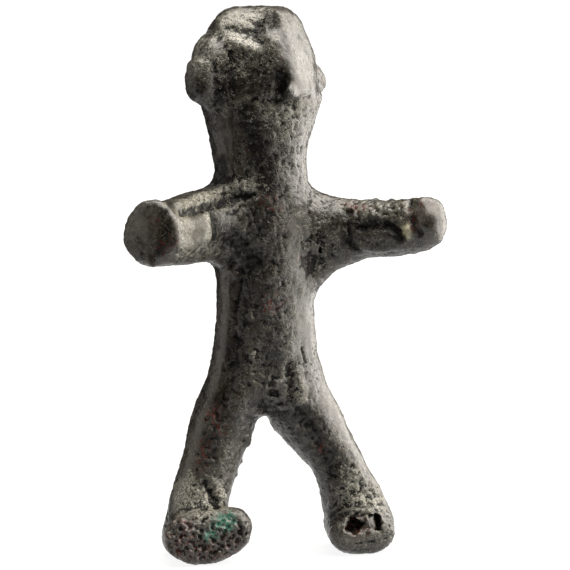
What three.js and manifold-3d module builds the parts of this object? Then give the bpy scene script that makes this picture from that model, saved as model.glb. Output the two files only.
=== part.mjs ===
import * as THREE from "three";
import Module from "manifold-3d";
import { mergeVertices } from "three/addons/utils/BufferGeometryUtils.js";

// A votive figurine: a small standing man, cast solid in bronze from a wax model that was
// pressed together from rolls. Millimetres, +Z up. He faces -Y and stands on Z = 0, with the
// origin under the middle of his box. Until the last step, X = 0, Y = 0 is the waist's middle
// and the soles lie at SOLE_HEIGHT.

// Driving dimensions: heights of the levels and half widths of the body at them
const CROWN_HEIGHT = 59.5;
const RIM_HEIGHT = 49.8;
const NECK_HEIGHT = 41.5;
const SHOULDER_HEIGHT = 36.2;
const WAIST_HEIGHT = 28.5;
const HIP_HEIGHT = 18.6;
const KNEE_HEIGHT = 10.4;
const ANKLE_HEIGHT = 6.0;
const SOLE_HEIGHT = 0.3;
const NECK_HALF = 5.0;
const CHEST_HALF = 5.7;
const WAIST_HALF = 5.3;
const HIP_HALF = 5.9;
const DEPTH_SHARE = 0.84;
const HEAD_TURN = 14;

// Widths of the fillets where rolls join, and of the softened edges where a flat was pressed
const SEAM = 1.6;
const WIDE_SEAM = 2.0;
const EDGE = 0.9;
const WORN_EDGE = 1.0;

// The skin's cell, and the slack for two corners to count as one
const CELL = 1.0;
const SLACK = 1e-4;

const v = (x, y, z) => new THREE.Vector3(x, y, z);

// A bead is a lump of wax: a centre and its half sizes along X, Y and Z.
const bead = (at, half) => ({ at: v(...at), half: v(...half) });

// Distance from the middle of a bead out to its surface, negative inside it.
function beadDistance(offset, half) {
  const near = Math.hypot(offset.x / half.x, offset.y / half.y, offset.z / half.z);
  const steep = Math.hypot(offset.x / half.x ** 2, offset.y / half.y ** 2, offset.z / half.z ** 2);
  return steep < SLACK ? -Math.min(half.x, half.y, half.z) : (near * (near - 1)) / steep;
}

// A roll of wax: beads strung on a smooth line, with the thickness running on between them.
function roll(beads, steps = 4) {
  const line = new THREE.CatmullRomCurve3(beads.map((b) => b.at));
  const girth = new THREE.CatmullRomCurve3(beads.map((b) => b.half));
  const count = (beads.length - 1) * steps;
  const knots = Array.from({ length: count + 1 }, (_, i) => ({
    at: line.getPoint(i / count),
    half: girth.getPoint(i / count),
  }));
  const along = v(0, 0, 0);
  const offset = v(0, 0, 0);
  const half = v(0, 0, 0);
  return (p) => {
    let nearest = Infinity;
    for (let i = 0; i < count; i++) {
      along.subVectors(knots[i + 1].at, knots[i].at);
      offset.subVectors(p, knots[i].at);
      const t = THREE.MathUtils.clamp(offset.dot(along) / along.lengthSq(), 0, 1);
      offset.addScaledVector(along, -t);
      half.lerpVectors(knots[i].half, knots[i + 1].half, t);
      nearest = Math.min(nearest, beadDistance(offset, half));
    }
    return nearest;
  };
}

// A flat pressed into the wax: a point on it and the way it faces.
const flat = (at, normal) => ({ at: v(...at), normal: v(...normal).normalize() });
const beyond = (p, { at, normal }) => p.dot(normal) - at.dot(normal);

// Two distances joined with a fillet of that width, or the first one cut to the second.
function join(a, b, width) {
  const h = Math.max(width - Math.abs(a - b), 0) / width;
  return Math.min(a, b) - (h * h * width) / 4;
}
const cut = (a, b, width) => -join(-a, -b, width);

// The trunk, neck and throat are one thick roll.
function trunk() {
  const depth = (half) => half * DEPTH_SHARE;
  return roll([
    bead([-0.35, 0.3, RIM_HEIGHT - 0.4], [6.7, 5.7, 2.2]),
    bead([-0.35, 0.2, NECK_HEIGHT + 5.7], [5.9, 5.2, 2.5]),
    bead([-0.55, 0.1, NECK_HEIGHT + 3], [5.25, 4.7, 2.5]),
    bead([-0.35, 0, NECK_HEIGHT], [NECK_HALF, 4.5, 2.5]),
    bead([-0.05, 0, SHOULDER_HEIGHT], [CHEST_HALF, depth(CHEST_HALF), 2.5]),
    bead([0.1, 0, WAIST_HEIGHT], [WAIST_HALF, depth(WAIST_HALF), 2.5]),
    bead([0.15, 0.1, WAIST_HEIGHT - 5.5], [5.7, 4.6, 2.5]),
    bead([0.2, 0.2, HIP_HEIGHT], [HIP_HALF, 4.1, 2.2]),
  ]);
}

// The head is turned to his left, so it is modelled in a frame of its own, with its zero at
// the rim where it meets the neck. Flats were pressed on either side of the nose, behind the
// right temple and on the crown. The brow is one more flat, which ends beside the nose.
function head() {
  const middle = v(-0.6, 0.3, RIM_HEIGHT);
  const skull = roll([
    bead([0, 0, 1.8], [6.5, 6.4, 2.2]),
    bead([0, 0, 4.6], [6.5, 6.6, 3.0]),
    bead([-0.15, 0.2, 8.0], [5.2, 5.8, 2.6]),
  ]);
  const nose = roll([
    bead([0, -2.8, 8.2], [2.6, 2.2, 1.8]),
    bead([0.5, -5.5, 2.5], [3.4, 2.2, 2.0]),
  ]);
  const rightEar = roll([
    bead([-5.8, 0.2, 5.2], [1.5, 2.0, 1.2]),
    bead([-6.6, -0.4, 2.1], [2.1, 2.2, 2.8]),
  ]);
  const leftEar = roll([
    bead([5.6, 1.0, 2.2], [1.5, 1.9, 1.4]),
    bead([7.35, 1.2, 1.3], [1.5, 1.9, 2.0]),
  ]);
  const noseTip = [0.6, -7.3, 2.7];
  const flats = [
    flat(noseTip, [-0.6, -0.75, 0.266]),
    flat(noseTip, [0.6, -0.75, 0.393]),
    flat([-4.5, 2.5, 7.65], [-0.697, 0.387, 0.603]),
    flat([0, 0, CROWN_HEIGHT - RIM_HEIGHT], [0.02, 0.03, 1]),
  ];
  const brow = flat([-1.83, -4.19, 6.0], [-0.202, -0.651, 0.733]);
  const browEnd = flat([0.95, -0.52, 0], [-0.875, 0.485, 0]);

  const q = v(0, 0, 0);
  const up = v(0, 0, 1);
  const turn = THREE.MathUtils.degToRad(HEAD_TURN);
  return (p) => {
    q.subVectors(p, middle).applyAxisAngle(up, -turn);
    let d = join(skull(q), nose(q), SEAM);
    for (const face of flats) d = cut(d, beyond(q, face), EDGE);
    d = cut(d, join(beyond(q, brow), beyond(q, browEnd), EDGE), EDGE);
    for (const ear of [rightEar, leftEar]) d = join(d, ear(q), SEAM);
    return d;
  };
}

// The right arm reaches out and forward, and its end is a flat disc.
function rightArm() {
  const end = flat([-15.05, -9.8, 36.8], [-0.68, -0.73, 0.03]);
  const limb = roll([
    bead([-3.5, 0.5, SHOULDER_HEIGHT + 0.1], [3.9, 3.6, 4.1]),
    bead([-8.5, -2.8, SHOULDER_HEIGHT + 0.1], [3.7, 3.7, 3.85]),
    bead([-13.0, -7.6, SHOULDER_HEIGHT + 0.2], [3.4, 3.4, 3.45]),
    bead([-15.7, -10.5, SHOULDER_HEIGHT + 0.8], [3.75, 3.75, 3.85]),
  ]);
  return (p) => cut(limb(p), beyond(p, end), WORN_EDGE);
}

// The left arm bends forward to a rounded knob, with a web of metal in the armpit.
function leftArm() {
  const limb = roll([
    bead([4, 0.5, SHOULDER_HEIGHT - 0.2], [3.6, 3.4, 3.5]),
    bead([9.5, -2.6, SHOULDER_HEIGHT - 0.6], [3.1, 3.1, 3.2]),
    bead([13.4, -6.3, SHOULDER_HEIGHT - 0.2], [2.9, 2.8, 3.1]),
    bead([15.5, -9.3, SHOULDER_HEIGHT + 0.65], [2.3, 2.4, 2.9]),
  ]);
  const web = roll([
    bead([8.6, -2.0, SHOULDER_HEIGHT - 2.6], [1.8, 2.2, 1.6]),
    bead([6.2, -0.8, SHOULDER_HEIGHT - 4.6], [1.4, 2.6, 1.6]),
    bead([4.7, 0, SHOULDER_HEIGHT - 6.4], [1.0, 2.4, 1.2]),
  ]);
  return (p) => join(limb(p), web(p), WIDE_SEAM);
}

// The right leg slants out to a broad foot, cut off flat at the toes.
function rightLeg() {
  const limb = roll([
    bead([-2.4, 0.2, HIP_HEIGHT + 0.8], [3.2, 4.4, 3.0]),
    bead([-4.55, 0.1, HIP_HEIGHT - 3.8], [3.5, 4.1, 3.0]),
    bead([-6.15, -0.6, KNEE_HEIGHT], [3.15, 3.5, 3.0]),
    bead([-7.6, -1.2, ANKLE_HEIGHT], [3.2, 3.4, 3.0]),
    bead([-8.2, -1.3, 2.6], [3.2, 3.3, 2.6]),
  ]);
  const instep = roll([
    bead([-8.2, -1.0, 2.3], [3.1, 3.2, 2.6]),
    bead([-8.2, -5.4, 3.0], [3.8, 2.4, 2.7]),
  ]);
  const toes = roll([
    bead([-10.6, -6.2, 3.3], [2.1, 2.4, 2.2]),
    bead([-8.2, -6.2, 3.1], [2.6, 2.4, 2.85]),
    bead([-5.2, -6.2, 4.0], [2.3, 2.4, 2.5]),
  ]);
  const end = flat([-8.0, -7.6, 2.4], [-0.05, -1, 0.05]);
  return (p) => {
    const foot = join(join(limb(p), instep(p), SEAM), toes(p), WORN_EDGE);
    return cut(foot, beyond(p, end), WORN_EDGE);
  };
}

// The left leg bends out at a thin knee, down to a short foot.
function leftLeg() {
  const limb = roll([
    bead([2.6, 0.2, HIP_HEIGHT + 0.6], [3.4, 4.4, 3.0]),
    bead([4.65, 0.1, HIP_HEIGHT - 3.6], [3.75, 4.1, 3.2]),
    bead([6.25, -0.4, KNEE_HEIGHT + 2], [3.35, 3.7, 3.0]),
    bead([7.6, -0.9, KNEE_HEIGHT], [2.8, 3.3, 2.8]),
    bead([8.7, -1.2, ANKLE_HEIGHT + 2.1], [2.7, 3.2, 2.8]),
    bead([9.5, -1.4, ANKLE_HEIGHT], [3.3, 3.2, 2.8]),
    bead([10.5, -1.5, 3.2], [3.65, 3.3, 2.6]),
  ]);
  const foot = roll([
    bead([10.2, -1.0, 2.2], [3.2, 3.2, 2.4]),
    bead([9.6, -5.6, 2.5], [3.9, 2.2, 2.4]),
  ]);
  const end = flat([10, -6.7, 2.4], [0.1, -1, 0.05]);
  return (p) => cut(join(limb(p), foot(p), SEAM), beyond(p, end), WORN_EDGE);
}

function figure() {
  const middle = trunk();
  const limbs = [
    [head(), WORN_EDGE],
    [rightArm(), WIDE_SEAM],
    [leftArm(), WIDE_SEAM],
    [rightLeg(), SEAM],
    [leftLeg(), SEAM],
  ];
  return (p) => limbs.reduce((d, [limb, width]) => join(d, limb(p), width), middle(p));
}

function eachCell([nx, ny, nz], first, visit) {
  for (let k = first; k < nz; k++)
    for (let j = first; j < ny; j++)
      for (let i = first; i < nx; i++) visit(i, j, k);
}

// The skin of a shape: one corner in every cell that the surface crosses, at the mean of the
// crossings of its edges, and one face across every grid edge that the surface crosses.
function skin(shape, low, size) {
  const cells = size.map((s) => Math.ceil(s / CELL));
  const [nx, ny] = cells;
  const index = (i, j, k) => (k * (ny + 1) + j) * (nx + 1) + i;
  const at = (i, j, k) => v(low[0] + i * CELL, low[1] + j * CELL, low[2] + k * CELL);
  const next = (cell, axis, step) => cell.map((c, n) => (n === axis ? c + step : c));

  const field = [];
  const nodes = cells.map((n) => n + 1);
  eachCell(nodes, 0, (...node) => {
    field[index(...node)] = shape(at(...node));
  });

  const corners = [];
  const cornerOf = new Map();
  const sides = [[0, 0], [1, 0], [1, 1], [0, 1]];
  eachCell(cells, 0, (...cell) => {
    const mean = v(0, 0, 0);
    let crossings = 0;
    for (let axis = 0; axis < 3; axis++)
      for (const [a, b] of sides) {
        const from = next(next(cell, (axis + 1) % 3, a), (axis + 2) % 3, b);
        const to = next(from, axis, 1);
        const [da, db] = [field[index(...from)], field[index(...to)]];
        if (da < 0 === db < 0) continue;
        mean.add(at(...from).lerp(at(...to), da / (da - db)));
        crossings++;
      }
    if (!crossings) return;
    cornerOf.set(index(...cell), corners.length);
    corners.push(mean.divideScalar(crossings));
  });

  const faces = [];
  eachCell(cells, 1, (...cell) => {
    for (let axis = 0; axis < 3; axis++) {
      const [da, db] = [field[index(...cell)], field[index(...next(cell, axis, 1))]];
      if (da < 0 === db < 0) continue;
      const round = sides.map(([a, b]) =>
        cornerOf.get(index(...next(next(cell, (axis + 1) % 3, -a), (axis + 2) % 3, -b))),
      );
      if (da >= 0) round.reverse();
      const [p, q, r, s] = round;
      const short = corners[p].distanceTo(corners[r]) < corners[q].distanceTo(corners[s]);
      faces.push(...(short ? [p, q, r, p, r, s] : [q, r, s, q, s, p]));
    }
  });

  settle(shape, corners, faces);
  const geometry = new THREE.BufferGeometry().setFromPoints(corners);
  geometry.setIndex(faces);
  return geometry;
}

// Evens out the corners and puts each back on the surface.
function settle(shape, corners, faces, rounds = 3) {
  const step = CELL / 20;
  const axes = [v(step, 0, 0), v(0, step, 0), v(0, 0, step)];
  const rise = (p, a) => (shape(p.clone().add(a)) - shape(p.clone().sub(a))) / (2 * step);
  for (let round = 0; round < rounds; round++) {
    const sum = corners.map(() => v(0, 0, 0));
    const neighbours = corners.map(() => 0);
    for (let f = 0; f < faces.length; f += 3)
      for (let n = 0; n < 3; n++) {
        const [a, b] = [faces[f + n], faces[f + ((n + 1) % 3)]];
        sum[a].add(corners[b]);
        neighbours[a]++;
      }
    corners.forEach((p, n) => {
      p.lerp(sum[n].divideScalar(neighbours[n]), 0.5);
      const slope = v(...axes.map((a) => rise(p, a)));
      p.addScaledVector(slope, -shape(p) / slope.lengthSq());
    });
  }
}

const wasm = await Module();
wasm.setup();

function solid(geometry) {
  const bare = geometry.clone();
  for (const name of ["normal", "uv"]) bare.deleteAttribute(name);
  const merged = mergeVertices(bare, SLACK);
  return new wasm.Manifold(
    new wasm.Mesh({
      numProp: 3,
      vertProperties: merged.attributes.position.array,
      triVerts: new Uint32Array(merged.index.array),
    }),
  );
}

function geometryOf(manifold) {
  const mesh = manifold.getMesh();
  return new THREE.BufferGeometry()
    .setAttribute("position", new THREE.BufferAttribute(mesh.vertProperties, 3))
    .setIndex(new THREE.BufferAttribute(mesh.triVerts, 1));
}

// The grid reaches past the hands, the head and the soles on every side.
const gridLow = [-24, -18, -3];
const gridSize = [48, 30, 66];
const groundDepth = 20;
const whole = skin(figure(), gridLow, gridSize);
const ground = new THREE.BoxGeometry(80, 80, groundDepth);
ground.translate(0, 0, SOLE_HEIGHT - groundDepth / 2);
const standing = geometryOf(solid(whole).subtract(solid(ground)));

standing.computeBoundingBox();
const boxMiddle = standing.boundingBox.getCenter(v(0, 0, 0));
standing.translate(-boxMiddle.x, -boxMiddle.y, -SOLE_HEIGHT);

const bronze = new THREE.MeshStandardMaterial({
  color: 0x2f2c29,
  roughness: 0.45,
  metalness: 0.8,
});
const figurine = new THREE.Mesh(standing, bronze);
figurine.name = "figurine";

const group = new THREE.Group();
group.add(figurine);

export default group;
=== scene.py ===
import math

import bpy
import numpy as np
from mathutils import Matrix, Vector, noise
from mathutils.bvhtree import BVHTree


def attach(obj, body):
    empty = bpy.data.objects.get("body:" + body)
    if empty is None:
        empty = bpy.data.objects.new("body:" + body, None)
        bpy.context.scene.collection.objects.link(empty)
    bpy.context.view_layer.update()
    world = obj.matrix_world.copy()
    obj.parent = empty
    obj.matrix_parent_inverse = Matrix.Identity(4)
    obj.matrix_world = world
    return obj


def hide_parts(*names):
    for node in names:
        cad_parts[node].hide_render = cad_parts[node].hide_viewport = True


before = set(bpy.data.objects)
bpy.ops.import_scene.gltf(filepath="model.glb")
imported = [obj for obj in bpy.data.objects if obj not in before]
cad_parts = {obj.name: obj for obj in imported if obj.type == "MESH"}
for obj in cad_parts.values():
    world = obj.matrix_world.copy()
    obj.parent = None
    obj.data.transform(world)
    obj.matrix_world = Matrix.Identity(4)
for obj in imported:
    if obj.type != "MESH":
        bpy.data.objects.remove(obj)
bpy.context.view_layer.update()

# Camera. A long lens a little above the figure and to the figure's right of it,
# as in the photograph: the view is 15 degrees round and 8.5 degrees down.
MM = 0.001
VIEW_TURN = math.radians(15)
VIEW_RISE = math.radians(8.5)
EYE_DISTANCE = 450 * MM
AIM = Vector((-0.2, 2.5, 29.7)) * MM
LENS = 262.9

towards_eye = Vector((
    -math.sin(VIEW_TURN) * math.cos(VIEW_RISE),
    -math.cos(VIEW_TURN) * math.cos(VIEW_RISE),
    math.sin(VIEW_RISE),
))
view_right = Vector((math.cos(VIEW_TURN), -math.sin(VIEW_TURN), 0))
view_up = towards_eye.cross(view_right)
eye = AIM + towards_eye * EYE_DISTANCE
framing = view_right * 2.27 * MM - view_up * 0.6 * MM
bpy.ops.object.camera_add(location=eye + framing)
camera = bpy.context.object
camera.rotation_mode = "QUATERNION"
camera.rotation_quaternion = (-towards_eye).to_track_quat("-Z", "Y")
camera.data.lens = LENS
camera.data.clip_start = 0.01
bpy.context.scene.camera = camera

# The figure, one solid bronze casting of a man pressed together from rolls of wax.
# A copy of the CAD solid is rounded like wax and cut into even faces that can be worked.
ROUGH_FACE = 0.25 * MM

bpy.ops.object.select_all(action="DESELECT")
cast = bpy.data.objects.new("cast_figure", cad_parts["figurine"].data.copy())
bpy.context.collection.objects.link(cast)
cast.select_set(True)
bpy.context.view_layer.objects.active = cast
bpy.ops.object.mode_set(mode="EDIT")
bpy.ops.mesh.select_all(action="SELECT")
bpy.ops.mesh.remove_doubles(threshold=0.002 * MM)
bpy.ops.object.mode_set(mode="OBJECT")


def finish_with(kind, **settings):
    """Adds a modifier to the figure and applies it."""
    modifier = cast.modifiers.new(kind.lower(), kind)
    for name, value in settings.items():
        setattr(modifier, name, value)
    bpy.ops.object.modifier_apply(modifier=modifier.name)


def surface():
    """The figure's points and their normals, in millimetres."""
    count = len(cast.data.vertices)
    points = np.empty(count * 3)
    normals = np.empty(count * 3)
    cast.data.vertices.foreach_get("co", points)
    cast.data.vertex_normals.foreach_get("vector", normals)
    return points.reshape(-1, 3) / MM, normals.reshape(-1, 3)


def shape_to(points):
    """Gives the figure's mesh these points, in millimetres."""
    cast.data.vertices.foreach_set("co", (points * MM).ravel())
    cast.data.update()


def in_view(points):
    """Each point as the eye sees it: millimetres to the right, up the figure, and towards the eye."""
    from_eye = points - np.array(eye) / MM
    away = -(from_eye @ np.array(towards_eye))
    spread = EYE_DISTANCE / MM / away
    right = from_eye @ np.array(view_right) * spread
    up = from_eye @ np.array(view_up) * spread + AIM.z / MM
    return right, up, EYE_DISTANCE / MM - away


def soft_step(x):
    """0 below 0, 1 above 1, and a smooth rise between."""
    x = np.clip(x, 0, 1)
    return x * x * (3 - 2 * x)


def depth_inside(outline, right, up):
    """How far each place lies inside a closed outline, in millimetres, and negative outside."""
    nearest = np.full(len(right), 1e9)
    inside = np.zeros(len(right), bool)
    for (x0, y0), (x1, y1) in zip(outline, outline[1:] + outline[:1]):
        along = (right - x0) * (x1 - x0) + (up - y0) * (y1 - y0)
        along = np.clip(along / ((x1 - x0) ** 2 + (y1 - y0) ** 2), 0, 1)
        gap = np.hypot(right - x0 - along * (x1 - x0), up - y0 - along * (y1 - y0))
        nearest = np.minimum(nearest, gap)
        if y0 != y1:
            crosses = (y0 > up) != (y1 > up)
            inside ^= crosses & (right < x0 + (up - y0) * (x1 - x0) / (y1 - y0))
    return np.where(inside, nearest, -nearest)


def facet(outline, at, near, tilt, soft=0.6, way="cut"):
    """Presses the outlined part flat, or fills it up to the flat. The flat goes through a place of the view,
    so far towards the eye, and tilt is how far its face leans to the right and up."""
    points, normals = surface()
    right, up, nearness = in_view(points)
    front = soft_step((normals @ np.array(towards_eye) + 0.1) / 0.35)
    lean = math.sqrt(1 - tilt[0] ** 2 - tilt[1] ** 2)
    flat = near - (tilt[0] * (right - at[0]) + tilt[1] * (up - at[1])) / lean
    change = flat - nearness
    change = np.clip(change, 0, 2) if way == "fill" else np.clip(change, -2, 0)
    share = soft_step(0.5 + depth_inside(outline, right, up) / soft) * front
    shape_to(points + np.outer(change * share, np.array(towards_eye)))


def skin():
    """The figure's surface as it is now, for lines of sight to meet."""
    return BVHTree.FromObject(cast, bpy.context.evaluated_depsgraph_get())


def spots(path, met):
    """The points of the surface, in millimetres, that the eye sees at these places of the view."""
    found = []
    for right, up in path:
        place = AIM + view_right * right * MM + view_up * (up * MM - AIM.z)
        line = (place - eye).normalized()
        hit = met.ray_cast(eye, line)[0]
        if hit is None:
            tries = [met.find_nearest(place + line * step * MM) for step in range(-12, 13)]
            hit = min(tries, key=lambda nearest: nearest[3])[0]
        found.append(np.array(hit) / MM)
    return found


def gap_to(line, points):
    """How far each point is from a line of points, in millimetres."""
    nearest = np.full(len(points), 1e9)
    for a, b in zip(line, line[1:] + line[-1:]):
        span = b - a
        along = np.clip((points - a) @ span / max(span @ span, 1e-9), 0, 1)
        nearest = np.minimum(nearest, np.linalg.norm(points - a - along[:, None] * span, axis=1))
    return nearest


def stroke(path, width, height, wander=0.3):
    """Draws a tool along the surface: it raises a ridge, or presses a groove where height is negative."""
    points, normals = surface()
    gap = gap_to(spots(path, skin()), points)
    for i in np.nonzero(gap < width * 1.4)[0]:
        place = Vector(points[i])
        ragged = gap[i] * (1 + wander * noise.noise(place * 1.3))
        uneven = 1 + wander * noise.noise(place * 0.9 + Vector((7, 0, 0)))
        points[i] += normals[i] * height * soft_step(1 - ragged / width) * uneven
    shape_to(points)


def soften(path, width, times):
    """Rubs the surface smooth along a path."""
    points = surface()[0]
    share = soft_step(1.5 - gap_to(spots(path, skin()), points) / width)
    group = cast.vertex_groups.new(name="rubbed")
    for i in np.nonzero(share > 0.02)[0].tolist():
        group.add([i], float(share[i]), "REPLACE")
    finish_with("SMOOTH", factor=0.5, iterations=times, vertex_group=group.name)
    cast.vertex_groups.clear()


def press(place, sizes, depth, soft=0.35, ragged=0.0):
    """Presses an oval of the surface away from the eye, or draws it nearer where depth is negative.
    Sizes are the oval's half width and half height, and soft is the share of them that slopes."""
    points, normals = surface()
    right, up = in_view(points)[:2]
    out = np.hypot((right - place[0]) / sizes[0], (up - place[1]) / sizes[1])
    for i in np.nonzero((out < 1.5) & (normals @ np.array(towards_eye) > 0))[0]:
        uneven = 1 + ragged * noise.noise(Vector(points[i]) * 1.6)
        points[i] -= np.array(towards_eye) * depth * soft_step((1 - out[i] * uneven) / soft)
    shape_to(points)


finish_with("SUBSURF", levels=1, render_levels=1)
finish_with("REMESH", mode="VOXEL", voxel_size=ROUGH_FACE, use_smooth_shade=True)
finish_with("SMOOTH", factor=0.5, iterations=16)

# Head. A block of wax cut to a few flats: a broad one on each side of the nose and a two-part one
# over the brow, with a hollow pressed beside the nose. The ears are small lobes.
horn = [(0.0, 59.4), (2.8, 59.4), (3.0, 56.7), (3.0, 53.4), (-0.2, 53.4), (-0.2, 56.7)]
facet(horn, (0.6, 55.0), 8.1, (-0.2, 0.42), soft=1.4)
face = [
    (-4.5, 56.0), (-0.2, 56.2), (1.7, 56.0), (2.6, 53.4),
    (3.0, 51.3), (2.1, 49.5), (-1.5, 49.3), (-4.5, 51.3),
]
facet(face, (-0.2, 53.4), 8.5, (-0.15, 0.04), soft=1.0, way="fill")
brow_top = [(-4.6, 57.3), (-3.5, 59.4), (-0.2, 59.4), (0.2, 57.7), (-0.2, 56.2), (-2.3, 56.3), (-4.3, 56.6)]
facet(brow_top, (-2.2, 56.6), 6.85, (0.05, 0.55), soft=0.7)
brow_lip = [(-4.2, 56.8), (-2.5, 56.7), (-0.8, 56.3), (0.1, 55.4), (0.2, 54.1), (-1.5, 54.1), (-3.5, 54.7)]
facet(brow_lip, (-1.5, 54.9), 8.3, (0.12, 0.72), soft=0.5)
soften([(0.2, 59.0), (0.4, 56.9), (0.4, 55.4)], 1.0, 14)
soften([(2.2, 56.7), (2.5, 53.9), (3.1, 51.0)], 1.4, 40)
stroke([(-4.1, 56.9), (-2.5, 56.7), (-1.1, 56.3)], 0.5, -0.15)
stroke([(-5.9, 56.9), (-5.4, 56.3), (-4.6, 55.9)], 1.3, -0.38)
stroke([(0.9, 58.7), (1.1, 57.4)], 1.3, -0.28, wander=0)
press((2.9, 49.9), (1.0, 1.2), -0.7, soft=0.9)
stroke([(1.8, 51.0), (1.6, 49.4)], 1.1, -0.9, wander=0)
soften([(1.8, 51.3), (1.8, 49.2)], 0.8, 8)
stroke([(-0.9, 49.0), (0.3, 49.0), (1.8, 48.8), (3.4, 48.8)], 1.1, -0.2)
stroke([(-5.4, 52.8), (-5.1, 50.8), (-5.4, 49.2)], 1.3, -0.25)
stroke([(-7.4, 51.5), (-6.9, 50.0)], 1.8, 0.2, wander=0)
stroke([(-7.8, 52.9), (-6.1, 52.9)], 0.9, 0.25)
stroke([(4.3, 49.4), (4.9, 49.5)], 0.7, -0.15)
stroke([(-8.2, 52.6), (-8.3, 51.3), (-8.0, 49.7)], 1.3, 0.25, wander=0)
stroke([(6.4, 50.8), (6.2, 49.4)], 1.1, 0.3, wander=0)
stroke([(-7.0, 54.7), (-6.4, 56.0)], 1.3, -0.28, wander=0)
stroke([(-5.7, 57.0), (-5.6, 57.7)], 1.0, -0.2, wander=0)

# Trunk. One thick roll with a smooth strip down its right side, lumpy wax pressed on its middle
# and a blunt edge down its left side.
stroke([(-2.3, 29.4), (-2.6, 26.8), (-2.8, 24.0), (-3.1, 21.0), (-3.9, 18.3), (-5.2, 15.0)], 1.7, -0.35)
stroke([(-1.9, 29.0), (-2.4, 26.8), (-2.5, 24.2)], 0.5, 0.22)
stroke([(-3.9, 34.0), (-2.6, 32.7), (-1.3, 31.6)], 2.6, -0.5)
soften([(3.1, 37.7), (3.1, 28.6), (2.9, 22.1)], 2.4, 60)
stroke([(2.8, 20.3), (2.8, 18.3), (3.0, 16.4)], 0.8, -0.3)
stroke([(3.7, 19.7), (4.1, 18.0), (3.8, 16.4)], 0.9, 0.35)
stroke([(-5.4, 30.9), (-3.4, 31.6), (-2.2, 30.5)], 0.7, -0.25)

# Arms. Two rolls pressed on at the shoulders, the right one cut off flat and the left one
# folded double, with a knob at its end.
stroke([(-9.1, 37.6), (-6.9, 38.4), (-4.5, 39.4), (-1.7, 39.9)], 1.2, 0.45)
stroke([(-9.1, 36.8), (-7.6, 37.0), (-5.6, 37.5), (-4.1, 38.1), (-1.5, 38.9)], 0.7, -0.45)
stroke([(-5.5, 36.8), (-5.3, 35.0), (-5.4, 33.3)], 0.8, -0.5)
stroke([(-6.2, 36.9), (-5.9, 34.2)], 0.7, 0.2)
stroke([(9.2, 37.0), (9.0, 35.0), (9.3, 33.6), (10.1, 32.9)], 0.6, -0.35)
stroke([(10.3, 35.5), (13.1, 35.6), (14.8, 34.5)], 1.0, -0.7)
stroke([(15.8, 38.0), (16.0, 36.1), (16.9, 34.6)], 0.6, -0.45)
stroke([(17.1, 38.2), (18.8, 37.9)], 1.3, 0.3, wander=0)
press((17.9, 35.9), (1.9, 2.6), -0.45, soft=0.8)
stroke([(-13.0, 37.9), (-11.0, 38.0)], 1.3, 0.35, wander=0)
stroke([(-12.6, 31.6), (-13.9, 32.0), (-14.9, 33.2)], 1.5, 0.35, wander=0)
press((-12.4, 35.0), (2.6, 3.3), -0.6, soft=1.0)
disc_rim = [
    (-9.9, 37.2), (-11.2, 38.3), (-13.4, 38.1), (-14.8, 36.7),
    (-15.0, 34.0), (-13.8, 32.0), (-12.3, 31.5),
]
soften(disc_rim, 1.5, 40)
soften([(-9.5, 37.0), (-9.3, 35.0), (-9.9, 33.1)], 1.0, 10)
stroke([(-10.5, 36.9), (-10.4, 35.7), (-10.6, 34.6)], 0.45, -0.3)
soften([(-12.3, 36.3), (-12.3, 33.4)], 2.0, 8)
press((15.4, 34.8), (0.65, 0.8), -0.5, soft=0.7)
stroke([(12.1, 38.3)], 0.5, 0.35)
stroke([(13.8, 38.3)], 0.45, 0.3)
stroke([(-12.0, 31.4)], 0.6, 0.5)
stroke([(10.6, 33.3), (12.5, 32.9), (14.5, 33.2)], 0.9, 0.25)

# Legs. Two rolls spread apart. The left shin has a blunt edge and a long hollow, and both feet
# are cut off in front, where the right one shows a rough face and the left one two holes.
stroke([(3.9, 15.1), (5.2, 13.2), (6.6, 10.7), (7.6, 8.7)], 1.3, -0.35)
stroke([(-1.0, 15.4), (-0.2, 15.3), (1.1, 13.5)], 1.0, 0.3, wander=0)
stroke([(5.5, 9.9), (6.2, 7.1), (6.3, 5.3)], 1.3, 0.25, wander=0)
stroke([(-6.8, 17.3), (-8.0, 13.9)], 1.4, -0.25, wander=0)
stroke([(-2.9, 8.2), (-3.6, 6.0)], 1.2, -0.3, wander=0)
stroke([(-8.0, 8.8)], 0.5, 0.25)
stroke([(-1.8, 12.6), (-1.9, 11.9)], 0.6, 0.45)
stroke([(-2.4, 10.0)], 0.5, 0.35)
stroke([(-3.0, 8.6)], 0.5, 0.3)
stroke([(-5.3, 7.6), (-4.5, 6.1)], 0.8, 0.25)
stroke([(-6.3, 7.6), (-5.4, 5.9), (-5.1, 5.0)], 0.7, -0.35)

# Casting skin. The whole surface is uneven from the fingers and tools on the wax and rough from
# the clay mould: long marks down the trunk, pits, lumps of crust, and a porous right toe.
FINE_FACE = 0.15 * MM
TRIANGLES = 194000

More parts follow.
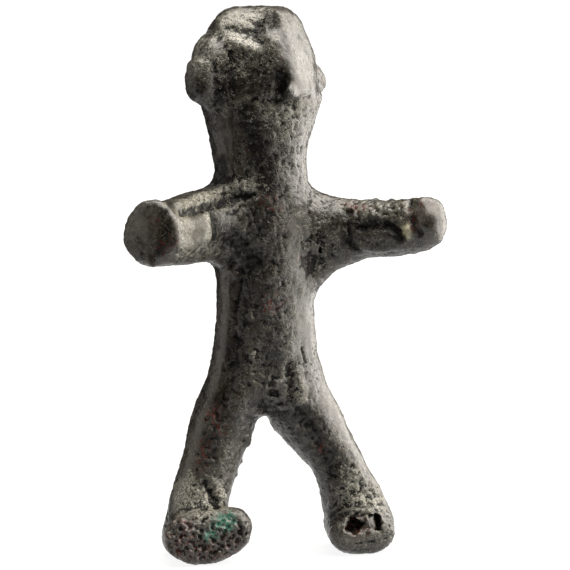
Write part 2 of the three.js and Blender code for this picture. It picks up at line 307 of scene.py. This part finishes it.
finish_with("REMESH", mode="VOXEL", voxel_size=FINE_FACE, use_smooth_shade=True)
finish_with("SMOOTH", factor=0.5, iterations=8)
press((10.9, 3.4), (2.4, 1.15), 0.55, ragged=0.5)
press((9.6, 3.0), (0.95, 1.0), 1.2, ragged=0.6)
press((9.2, 2.6), (0.5, 0.5), 0.6, ragged=0.6)
press((12.3, 3.5), (0.45, 0.95), 1.0, ragged=0.6)
stroke([(11.0, 4.1), (11.4, 2.5)], 0.5, 0.3)
stroke([(8.0, 4.4), (9.5, 4.7), (11.2, 4.7), (13.0, 5.0)], 0.5, 0.3, wander=0.6)
stroke([(7.8, 1.5), (10.2, 1.1), (13.2, 1.7)], 0.3, -0.12)
stroke([(8.0, 0.8), (10.4, 0.3), (13.0, 0.9)], 0.3, -0.12)
press((1.0, 17.4), (0.7, 0.6), 0.4, ragged=0.5)
press((6.1, 32.9), (0.2, 0.4), 0.5, ragged=0.5)
press((1.4, 18.6), (0.55, 0.4), -0.3, soft=0.8, ragged=0.5)
press((1.8, 15.9), (0.8, 0.4), -0.3, soft=0.8, ragged=0.5)
press((-1.3, 21.3), (0.45, 0.6), -0.25, soft=0.8, ragged=0.5)
press((-1.5, 25.7), (0.5, 0.7), -0.3, soft=0.8, ragged=0.5)
stroke([(4.1, 22.2), (4.5, 20.7)], 0.25, -0.15)


def weights(name, share):
    """Keeps a share from 0 to 1 for every point of the figure, for the modifiers to read."""
    group = cast.vertex_groups.new(name=name)
    levels = np.round(np.clip(share, 0, 1) * 20).astype(int)
    for level in range(1, 21):
        members = np.nonzero(levels == level)[0].tolist()
        if members:
            group.add(members, level / 20, "REPLACE")


def painted(places, ragged=0.4, fine=1.4):
    """How strongly each point is painted: near a path drawn on the surface, within its width,
    with a ragged edge. Each place is a path, its width in millimetres and its strength."""
    points = surface()[0]
    met = skin()
    strongest = np.zeros(len(points))
    for path, width, strength in places:
        gap = gap_to(spots(path, met), points)
        for i in np.nonzero(gap < width * 1.5)[0]:
            uneven = 1 + ragged * noise.noise(Vector(points[i]) * fine)
            share = strength * soft_step(1.35 - gap[i] * uneven / width)
            strongest[i] = max(strongest[i], share)
    return strongest


def grain(name, kind, size, height, group="", stretch=(1, 1, 1), mid=0.5, **settings):
    """Raises and sinks the skin of the casting with a procedural texture."""
    texture = bpy.data.textures.new(name, kind)
    for key, value in settings.items():
        setattr(texture, key, value)
    texture.noise_scale = size
    bpy.ops.object.empty_add()
    guide = bpy.context.object
    guide.scale = [MM * s for s in stretch]
    bpy.ops.object.select_all(action="DESELECT")
    cast.select_set(True)
    bpy.context.view_layer.objects.active = cast
    bpy.context.view_layer.update()
    finish_with(
        "DISPLACE",
        texture=texture,
        texture_coords="OBJECT",
        texture_coords_object=guide,
        strength=height * MM,
        mid_level=mid,
        vertex_group=group,
    )
    bpy.data.objects.remove(guide)


points, normals = surface()
trunk = soft_step((points[:, 2] - 12) / 4) * soft_step((50 - points[:, 2]) / 3)
trunk *= soft_step((7.2 - np.abs(points[:, 0] + 0.5)) / 1.5)
weights("trunk", trunk)
right, up = in_view(points)[:2]
toe_outline = [
    (-10.9, 2.6), (-9.5, 3.8), (-6.4, 4.4), (-3.1, 5.0), (-1.6, 4.2),
    (-1.3, 2.6), (-2.6, 0.7), (-5.3, -0.9), (-9.1, -0.9), (-10.7, 0.4),
]
toe = soft_step(0.5 + depth_inside(toe_outline, right, up) / 0.6)
toe *= soft_step(normals @ np.array(towards_eye) * 2)
toe *= soft_step(((-28.5, 4.6)[1] - up + 0.25 * ((-1.3, 59.9)[0] - right)) / 2.5)
weights("toe", toe)
rough_places = [
    ([(-8.5, 37.7), (-5.3, 38.6), (-1.7, 39.7)], 1.6, 1.0),
    ([(9.5, 37.7), (12.5, 37.4), (15.1, 37.0)], 1.5, 0.9),
    ([(-9.6, 32.2), (-6.4, 32.2)], 1.2, 0.9),
    ([(8.8, 8.2), (10.2, 5.9), (11.7, 6.1)], 2.2, 1.0),
    ([(-5.3, 14.5), (-6.4, 10.7)], 1.6, 0.9),
    ([(-6.4, 7.6), (-4.5, 6.7)], 1.5, 0.8),
    ([(4.4, 14.5), (5.8, 12.3), (7.4, 9.3)], 1.3, 1.0),
    ([(-0.2, 48.2), (3.0, 47.8), (2.3, 45.9)], 1.4, 0.6),
    ([(-1.5, 25.3), (-1.3, 22.1), (-0.2, 19.0), (2.3, 17.5)], 1.5, 0.8),
    ([(-1.5, 36.7), (-2.6, 34.0), (-0.9, 31.6)], 1.6, 0.6),
    ([(7.7, 5.3), (13.1, 4.8)], 1.0, 0.8),
]
weights("crust", painted(rough_places))
smooth_places = [
    ([(3.7, 56.7), (4.4, 54.0), (4.5, 51.3)], 3.0, 1.0),
    ([(-6.5, 50.2), (-6.3, 49.4)], 1.0, 1.0),
    ([(-12.5, 36.3), (-12.3, 33.6)], 2.4, 1.0),
    ([(-10.2, 37.7), (-9.4, 35.9), (-10.1, 33.2)], 1.0, 1.0),
    ([(-8.6, 36.1), (-6.9, 36.1), (-6.5, 34.4), (-8.2, 33.6)], 1.5, 1.0),
    ([(17.7, 36.7), (17.9, 34.5)], 2.2, 1.0),
    ([(-4.1, 46.7), (-3.9, 42.4)], 1.3, 1.0),
    ([(-3.8, 29.1), (-4.1, 23.1), (-5.0, 17.7)], 1.3, 1.0),
    ([(4.2, 35.6), (4.1, 28.6), (4.5, 22.6)], 2.0, 1.0),
    ([(-7.1, 14.0), (-9.3, 6.9)], 1.2, 1.0),
    ([(6.6, 17.5), (9.5, 12.3), (11.7, 8.6)], 1.3, 1.0),
]
weights("rough", 1 - 0.75 * painted(smooth_places))
grain("rolled_wax", "CLOUDS", 2.6, 0.26, noise_depth=1)
grain("hand_marks", "CLOUDS", 1.2, 0.20, group="rough", noise_depth=2)
grain("long_streaks", "CLOUDS", 0.75, 0.13, group="trunk", stretch=(1, 1, 4), noise_depth=2)
grain("mould_skin", "CLOUDS", 0.45, 0.17, group="rough", noise_depth=2)
grain("crust_lumps", "CLOUDS", 0.6, 0.42, group="crust", noise_depth=3)
grain("toe_lumps", "CLOUDS", 1.1, 0.35, group="toe", noise_depth=2)
grain("toe_pores", "VORONOI", 0.5, 0.55, group="toe", mid=0.42)
grain("toe_dents", "CLOUDS", 0.5, 0.4, group="toe", noise_depth=1)
cast.vertex_groups.clear()
points, normals = surface()
points[:, 2] = np.maximum(points[:, 2], 0)
shape_to(points)
finish_with("DECIMATE", ratio=TRIANGLES / (2 * len(cast.data.polygons)))
bpy.ops.object.shade_smooth()

# Patina. The bronze is covered with a dark brown to black patina, with grey-green crust in the rough places,
# red copper oxide where it has flaked, and green corrosion on the right toe. The colour also holds painted
# shade in the hollows and grooves, and painted highlights on raised parts and on tops that face the lights.
points, normals = surface()
pairs = np.empty(len(cast.data.edges) * 2, int)
cast.data.edges.foreach_get("vertices", pairs)
ends = np.concatenate([pairs.reshape(-1, 2), pairs.reshape(-1, 2)[:, ::-1]])
neighbours = np.bincount(ends[:, 0], minlength=len(points))[:, None]


def averaged(values, times):
    """Values of the points, each averaged with its neighbours' a number of times."""
    for step in range(times):
        values = np.stack([
            np.bincount(ends[:, 0], weights=values[ends[:, 1], axis], minlength=len(values))
            for axis in range(values.shape[1])
        ], axis=1) / neighbours
    return values


def keep(name, values):
    """Keeps a number for every point of the figure, for its material to read."""
    layer = cast.data.attributes.new(name, "FLOAT", "POINT")
    layer.data.foreach_set("value", np.asarray(values, float))


fine_hollow = np.einsum("ij,ij->i", averaged(points, 6) - points, normals)
broad_hollow = np.einsum("ij,ij->i", averaged(points, 40) - points, normals)
keep("hollow", np.clip(0.5 + fine_hollow / 0.12 + broad_hollow / 0.6, 0, 1))
keep("crust", painted(rough_places))
keep("smooth", painted(smooth_places))
green_places = [
    ([(-4.9, 3.4), (-3.8, 3.9), (-3.9, 3.1)], 0.72, 1.0),
    ([(-6.1, 1.9), (-5.5, 2.2)], 0.55, 1.0),
]
keep("verdigris", painted(green_places, ragged=0.9, fine=2.2))
keep("cuprite", painted([
    ([(0.4, 38.0), (1.4, 37.9)], 0.9, 1.0),
    ([(0.6, 26.8), (1.7, 27.4)], 1.0, 1.0),
    ([(3.7, 32.0)], 0.5, 1.0),
    ([(-5.6, 15.0), (-4.8, 14.1)], 1.2, 1.0),
    ([(-6.4, 11.7), (-6.8, 9.7)], 1.0, 1.0),
    ([(6.2, 11.6)], 0.7, 1.0),
    ([(8.9, 2.8), (9.6, 3.3), (10.4, 2.8)], 1.3, 1.0),
    ([(15.9, 37.2), (16.1, 35.3)], 0.7, 1.0),
    ([(17.0, 38.0), (17.7, 37.7)], 0.7, 1.0),
    ([(8.9, 38.0), (10.8, 37.6)], 0.8, 1.0),
    ([(-10.8, 33.2), (-9.9, 33.9)], 0.9, 1.0),
    ([(-9.1, 0.2), (-8.5, 3.7)], 1.2, 0.8),
    ([(-9.5, 1.5), (-6.9, 0.0), (-3.9, 0.7)], 1.8, 0.8),
    ([(-5.2, 15.5), (-5.6, 14.5), (-4.5, 13.6)], 1.0, 1.0),
]))
# Painted shade: dark lines along the grooves and hollows and on shaded sides, such as beside the nose, down
# the neck and inside the cut end of the right arm.
keep("painted_shade_paths", painted([
    ([(-2.8, 50.8), (-1.0, 51.3), (1.3, 50.6)], 1.5, 0.7),
    ([(2.2, 52.1), (2.1, 50.8), (1.7, 49.4)], 1.0, 1.0),
    ([(-1.7, 47.8), (-1.1, 45.3), (-0.2, 42.6), (0.4, 39.9)], 1.3, 1.0),
    ([(-4.4, 42.8), (-4.4, 40.9)], 0.8, 1.0),
    ([(-5.5, 36.3), (-5.3, 35.0), (-5.4, 33.2)], 0.8, 1.0),
    ([(-8.0, 36.9), (-6.3, 37.4), (-4.5, 38.0), (-1.5, 38.9)], 0.6, 0.9),
    ([(-3.9, 34.2), (-2.4, 32.9), (-0.9, 31.6)], 1.8, 0.8),
    ([(-2.1, 29.2), (-2.4, 26.8), (-2.5, 24.0), (-3.0, 20.3), (-4.5, 16.7)], 1.6, 0.6),
    ([(10.1, 35.5), (13.3, 35.5), (14.8, 34.4)], 0.9, 1.0),
    ([(9.0, 36.8), (9.0, 34.0)], 0.8, 0.8),
    ([(4.5, 15.0), (6.1, 12.3), (8.0, 8.6)], 1.6, 0.7),
    ([(0.9, 24.2), (0.6, 19.9), (-0.2, 16.7)], 1.4, 0.5),
    ([(-0.9, 37.7), (-1.1, 34.0), (-1.3, 27.5), (-1.5, 23.7)], 1.6, 0.55),
    ([(-4.5, 16.9), (-5.4, 14.0), (-6.4, 10.2)], 1.3, 0.7),
    ([(-7.4, 51.3), (-6.5, 49.4)], 2.4, 0.4),
    ([(-4.1, 56.8), (-2.5, 56.6), (-1.0, 56.2)], 0.4, 0.7),
    ([(0.8, 58.8), (1.1, 57.3)], 0.9, 0.7),
    ([(2.6, 58.6), (4.1, 57.1), (5.2, 55.1)], 1.6, 0.45),
    ([(2.2, 56.0), (2.6, 53.4), (3.1, 51.3)], 0.7, 0.5),
    ([(9.4, 2.9), (10.2, 3.4)], 1.0, 0.5),
    ([(12.3, 4.1), (12.3, 2.8)], 0.55, 1.0),
    ([(2.9, 20.1), (2.9, 16.7)], 0.6, 0.3),
    ([(-10.7, 37.0), (-10.4, 34.8), (-11.2, 32.7)], 0.8, 0.8),
]))
keep("brown", painted([
    ([(-13.4, 35.0), (-11.8, 34.8)], 2.6, 1.0),
    ([(-4.1, 46.9), (-3.7, 41.5)], 1.8, 1.0),
    ([(-3.7, 30.2), (-4.2, 22.1), (-5.6, 16.7), (-8.0, 9.1), (-9.7, 3.7)], 1.8, 1.0),
    ([(17.7, 36.7), (18.2, 34.4)], 2.2, 0.8),
    ([(-1.5, 23.6), (-1.5, 20.3)], 0.8, 1.0),
    ([(-0.2, 43.7), (0.0, 40.4)], 0.8, 1.0),
    ([(11.7, 34.2), (14.3, 34.0)], 1.2, 0.6),
    ([(-9.9, 1.5), (-8.0, 0.2), (-4.8, 0.2)], 1.8, 1.0),
    ([(8.2, 1.0), (12.5, 1.0)], 1.2, 0.6),
]))
# Wear, and painted highlights: glints on the cut end of the right arm, and light on the tops of the brow,
# the right ear, the right arm and the right instep.
keep("wear_and_highlight", painted([
    ([(-3.5, 56.2), (-2.2, 55.6), (-0.6, 55.1)], 0.85, 1.0),
    ([(-3.9, 57.5), (-0.9, 58.1)], 1.3, 0.6),
    ([(-7.2, 53.1), (-6.3, 53.0)], 0.8, 0.8),
    ([(-8.2, 37.9), (-5.5, 39.1), (-1.6, 39.7)], 0.9, 0.8),
    ([(-8.6, 36.1), (-8.4, 33.6)], 1.5, 0.8),
    ([(-6.2, 36.9), (-5.9, 34.2)], 0.6, 1.0),
    ([(-8.6, 6.5), (-7.6, 5.2), (-6.1, 5.0)], 2.2, 1.0),
    ([(-4.9, 7.1), (-4.2, 6.2)], 0.7, 1.0),
    ([(8.9, 8.2), (9.5, 6.9), (10.8, 5.9), (12.1, 5.3)], 0.9, 0.8),
    ([(-8.2, 8.9), (-8.0, 8.7)], 0.35, 1.0),
    ([(-10.7, 38.0), (-10.6, 37.4)], 0.22, 1.0),
    ([(3.7, 18.8), (4.0, 16.4)], 0.7, 0.6),
]))
# Dust, with painted highlights on the tops that face the lights: over the brow, on an ear, along the arm
# tops and on the insteps.
keep("dust_and_highlight", painted([
    ([(-5.6, 56.1), (-4.2, 57.3), (-2.6, 57.7), (-0.6, 58.2)], 2.2, 1.0),
    ([(-7.1, 53.2), (-6.1, 54.7), (-4.8, 55.8)], 1.6, 0.6),
    ([(-3.0, 55.4), (-0.9, 54.9)], 1.2, 1.0),
    ([(-3.9, 53.4), (-2.1, 52.3), (-0.2, 53.2), (0.9, 54.7)], 1.6, 0.6),
    ([(-0.2, 48.0), (2.3, 47.8), (3.9, 48.7), (2.8, 45.9)], 1.8, 1.0),
    ([(-6.4, 48.8), (-4.5, 47.8)], 1.0, 0.8),
    ([(-8.5, 37.7), (-5.3, 38.6), (-1.5, 39.7)], 2.0, 1.0),
    ([(-9.1, 32.2), (-5.6, 32.2)], 1.4, 1.0),
    ([(-8.2, 36.2), (-6.7, 36.2), (-6.5, 34.0), (-8.2, 33.3)], 1.9, 1.0),
    ([(9.5, 37.5), (14.7, 37.0)], 1.8, 0.8),
    ([(10.6, 33.3), (14.9, 33.1)], 1.2, 0.5),
    ([(3.4, 36.7), (3.7, 31.8), (3.5, 24.2), (2.8, 19.9)], 1.6, 0.5),
    ([(3.9, 19.4), (3.9, 16.7)], 1.3, 0.8),
    ([(8.8, 8.2), (10.4, 5.9), (12.0, 5.9)], 2.4, 1.0),
    ([(-8.8, 6.4), (-7.4, 5.0), (-5.6, 4.7), (-4.5, 5.2)], 2.2, 1.0),
    ([(2.4, 58.0), (3.9, 56.2)], 1.8, 0.6),
    ([(6.1, 35.3), (6.5, 31.6)], 1.8, 0.8),
    ([(7.8, 34.8), (7.6, 32.4)], 1.2, 0.6),
    ([(-3.5, 10.7), (-3.9, 8.0)], 1.4, 0.5),
    ([(7.8, 2.4), (10.4, 1.7), (13.4, 2.6)], 1.2, 0.4),
    ([(-5.3, 7.6), (-4.3, 6.1)], 1.0, 1.0),
]))
keep("pale", painted([([(15.2, 35.1), (15.5, 34.4)], 0.6, 1.0)], ragged=0.8, fine=2.5))

bronze = bpy.data.materials.new("bronze_patina")
bronze.use_nodes = True
graph = bronze.node_tree
shader = graph.nodes["Principled BSDF"]
coordinates = graph.nodes.new("ShaderNodeTexCoord").outputs["Object"]


def reading(name):
    """The number that a point of the figure keeps under a name."""
    node = graph.nodes.new("ShaderNodeAttribute")
    node.attribute_name = name
    return node.outputs["Fac"]


def cloud(size, detail=3.0, rough=0.55, shift=0.0):
    """Cloudy noise whose features are so many millimetres across."""
    mapping = graph.nodes.new("ShaderNodeMapping")
    mapping.inputs["Scale"].default_value = [1 / (size * MM)] * 3
    mapping.inputs["Location"].default_value = (shift, shift, shift)
    graph.links.new(coordinates, mapping.inputs["Vector"])
    node = graph.nodes.new("ShaderNodeTexNoise")
    node.inputs["Scale"].default_value = 1
    node.inputs["Detail"].default_value = detail
    node.inputs["Roughness"].default_value = rough
    graph.links.new(mapping.outputs["Vector"], node.inputs["Vector"])
    return node.outputs["Fac"]


def ramp(value, low, high, to_low=0.0, to_high=1.0):
    """Stretches the part of a value between low and high over a new range, and stops there."""
    node = graph.nodes.new("ShaderNodeMapRange")
    node.interpolation_type = "SMOOTHSTEP"
    node.inputs["From Min"].default_value = low
    node.inputs["From Max"].default_value = high
    node.inputs["To Min"].default_value = to_low
    node.inputs["To Max"].default_value = to_high
    graph.links.new(value, node.inputs["Value"])
    return node.outputs["Result"]


def blend(operation, a, b):
    """Two values, or a value and a number, put together by one operation."""
    node = graph.nodes.new("ShaderNodeMath")
    node.operation = operation
    for socket, value in zip(node.inputs, (a, b)):
        if isinstance(value, (int, float)):
            socket.default_value = value
        else:
            graph.links.new(value, socket)
    return node.outputs["Value"]


def laid(under, colour, share):
    """A colour laid over another where the share is high."""
    node = graph.nodes.new("ShaderNodeMix")
    node.data_type = "RGBA"
    factor, base, top = node.inputs[0], node.inputs[6], node.inputs[7]
    graph.links.new(share, factor)
    if isinstance(under, tuple):
        base.default_value = (*under, 1)
    else:
        graph.links.new(under, base)
    top.default_value = (*colour, 1)
    return node.outputs[2]


def thread(size, shift):
    """Thin curling lines, where cloudy noise passes through its middle."""
    away = blend("ABSOLUTE", blend("SUBTRACT", cloud(size, 2, 0.5, shift=shift), 0.5), 0)
    return ramp(away, 0.0, 0.022, 1.0, 0.0)


crusted = reading("crust")
hollow = reading("hollow")
dust_and_highlight = reading("dust_and_highlight")
# The places away from the painted shade.
outside_painted_shade = blend("SUBTRACT", 1, reading("painted_shade_paths"))
uneven = blend("SUBTRACT", 1, blend("MULTIPLY", reading("smooth"), 0.75))
colour = laid((0.0032, 0.0025, 0.0018), (0.012, 0.0074, 0.0042), ramp(cloud(3.0), 0.42, 0.62))
colour = laid(colour, (0.0135, 0.0125, 0.0088), ramp(cloud(1.3, 5, 0.65, shift=3), 0.5, 0.7))
brown = blend("MULTIPLY", reading("brown"), ramp(cloud(0.8, 4, 0.6, shift=8), 0.3, 0.6))
colour = laid(colour, (0.021, 0.0145, 0.0092), blend("MULTIPLY", brown, 0.85))
# Lighter on the raised parts: wear, and a painted highlight on the ridges.
wear_and_highlight = blend("MULTIPLY", ramp(hollow, 0.42, 0.25), ramp(cloud(0.35, 3, 0.6, shift=4), 0.35, 0.65))
colour = laid(colour, (0.038, 0.034, 0.0255), blend("MULTIPLY", wear_and_highlight, 0.8))
# Grey dust, and painted highlights where it lies on the tops that face the lights.
dust_and_highlight_share = blend("MULTIPLY", dust_and_highlight, ramp(cloud(0.22, 3, 0.7, shift=6), 0.42, 0.68))
colour = laid(colour, (0.093, 0.089, 0.063), blend("MULTIPLY", dust_and_highlight_share, 0.8))
lime = blend("MULTIPLY", crusted, ramp(cloud(0.42, 4, 0.65, shift=5), 0.45, 0.7))
colour = laid(colour, (0.092, 0.088, 0.062), blend("MULTIPLY", lime, 0.8))
# Bare bronze and painted highlights, a pale grey.
bare_and_highlit = blend("MULTIPLY", reading("wear_and_highlight"), ramp(cloud(0.2, 3, 0.7, shift=7), 0.44, 0.6))
colour = laid(colour, (0.24, 0.23, 0.19), bare_and_highlit)
# Painted shade: near black in the hollows and along the painted shade paths.
painted_shade = blend("MAXIMUM", ramp(hollow, 0.58, 0.85), blend("MULTIPLY", reading("painted_shade_paths"), 0.85))
colour = laid(colour, (0.0022, 0.002, 0.0017), painted_shade)
pits = blend("MULTIPLY", ramp(cloud(0.36, 1, 0.5, shift=51), 0.40, 0.33), uneven)
colour = laid(colour, (0.002, 0.0018, 0.0015), blend("MULTIPLY", pits, 0.85))
specks = blend("MULTIPLY", ramp(cloud(0.13, 2, 0.5, shift=9), 0.63, 0.70), outside_painted_shade)
specks = blend("MULTIPLY", specks, uneven)
colour = laid(colour, (0.19, 0.18, 0.145), blend("MULTIPLY", specks, 0.7))
threads = blend("MAXIMUM", thread(0.65, 41), thread(0.5, 43))
lint = blend("MULTIPLY", threads, ramp(cloud(0.8, shift=45), 0.5, 0.56))
lint = blend("MULTIPLY", lint, ramp(dust_and_highlight, 0.0, 1.0, 0.2, 0.9))
colour = laid(colour, (0.25, 0.24, 0.195), lint)
red = blend("MULTIPLY", reading("cuprite"), ramp(cloud(0.4, 3, 0.6, shift=11), 0.5, 0.62))
colour = laid(colour, (0.05, 0.0115, 0.008), red)
stray_red = ramp(cloud(0.7, 2, 0.5, shift=17), 0.72, 0.76)
colour = laid(colour, (0.045, 0.014, 0.01), blend("MULTIPLY", stray_red, 0.7))
green = blend("MULTIPLY", reading("verdigris"), ramp(cloud(0.3, 3, shift=13), 0.40, 0.5))
colour = laid(colour, (0.022, 0.095, 0.064), green)
colour = laid(colour, (0.3, 0.28, 0.18), reading("pale"))
graph.links.new(colour, shader.inputs["Base Color"])

rough = ramp(cloud(0.9, 4, 0.6, shift=21), 0.3, 0.7, 0.22, 0.34)
rough = blend("ADD", rough, blend("MULTIPLY", blend("MAXIMUM", crusted, dust_and_highlight), 0.12))
graph.links.new(rough, shader.inputs["Roughness"])
# The painted shade also dims the reflections in the same places.
graph.links.new(ramp(painted_shade, 0.0, 1.0, 0.52, 0.12), shader.inputs["Specular IOR Level"])

bump = graph.nodes.new("ShaderNodeBump")
bump.inputs["Strength"].default_value = 1.0
bump.inputs["Distance"].default_value = 0.055 * MM
grit = blend("ADD", cloud(0.26, 3, 0.6, shift=31), blend("MULTIPLY", cloud(0.12, 2, 0.5, shift=33), 0.5))
grit = blend("MULTIPLY", grit, uneven)
grit = blend("ADD", grit, blend("MULTIPLY", lint, 0.5))
grit = blend("SUBTRACT", grit, pits)
graph.links.new(grit, bump.inputs["Height"])
graph.links.new(bump.outputs["Normal"], shader.inputs["Normal"])
cast.data.materials.clear()
cast.data.materials.append(bronze)
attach(cast, "root")
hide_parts("figurine")

# Floor. A white glowing table top under the figure, on a wide white floor of the same tone.
# The wide floor isn't seen in the bronze, where a studio would be dark.
white = bpy.data.materials.new("white_table")
white.use_nodes = True
paint = white.node_tree.nodes["Principled BSDF"]
paint.inputs["Base Color"].default_value = (0.08, 0.08, 0.08, 1)
paint.inputs["Roughness"].default_value = 0.9
paint.inputs["Specular IOR Level"].default_value = 0.1
paint.inputs["Emission Color"].default_value = (1, 1, 1, 1)
paint.inputs["Emission Strength"].default_value = 0.9
for name, radius, height in (("table_top", 60 * MM, 0), ("floor", 6, -0.2 * MM)):
    bpy.ops.mesh.primitive_circle_add(vertices=96, radius=radius, fill_type="NGON", location=(0, 0, height))
    board = bpy.context.object
    board.name = name
    board.data.materials.append(white)
board.visible_glossy = False


def softbox(name, towards, distance, width, height, radiance):
    """An area light that faces the figure from the given side."""
    direction = Vector(towards).normalized()
    bpy.ops.object.light_add(type="AREA", location=AIM + direction * distance)
    lamp = bpy.context.object
    lamp.name = name
    lamp.rotation_mode = "QUATERNION"
    lamp.rotation_quaternion = direction.to_track_quat("Z", "Y")
    lamp.data.shape = "RECTANGLE"
    lamp.data.size = width
    lamp.data.size_y = height
    lamp.data.energy = radiance * math.pi * width * height
    lamp.data.color = (1.0, 0.95, 0.88)


def from_view(right, up, back):
    """A direction given as the camera sees it."""
    return view_right * right + view_up * up + towards_eye * back


softbox("right_softbox", from_view(0.95, 0.1, -0.31), 0.6, 0.9, 1.0, 6.2)
softbox("top_softbox", from_view(0.25, 1.0, 0.1), 0.8, 1.2, 1.05, 8.5)
softbox("right_card", from_view(0.8, 0.1, 0.35), 0.6, 0.5, 1.0, 1.8)
softbox("left_card", from_view(-1.0, 0.2, 0.0), 0.6, 0.6, 1.0, 0.9)

world = bpy.data.worlds.new("studio")
bpy.context.scene.world = world
world.use_nodes = True
world.node_tree.nodes["Background"].inputs["Color"].default_value = (1, 1, 1, 1)
world.node_tree.nodes["Background"].inputs["Strength"].default_value = 0.04
bpy.context.scene.view_settings.view_transform = "Standard"
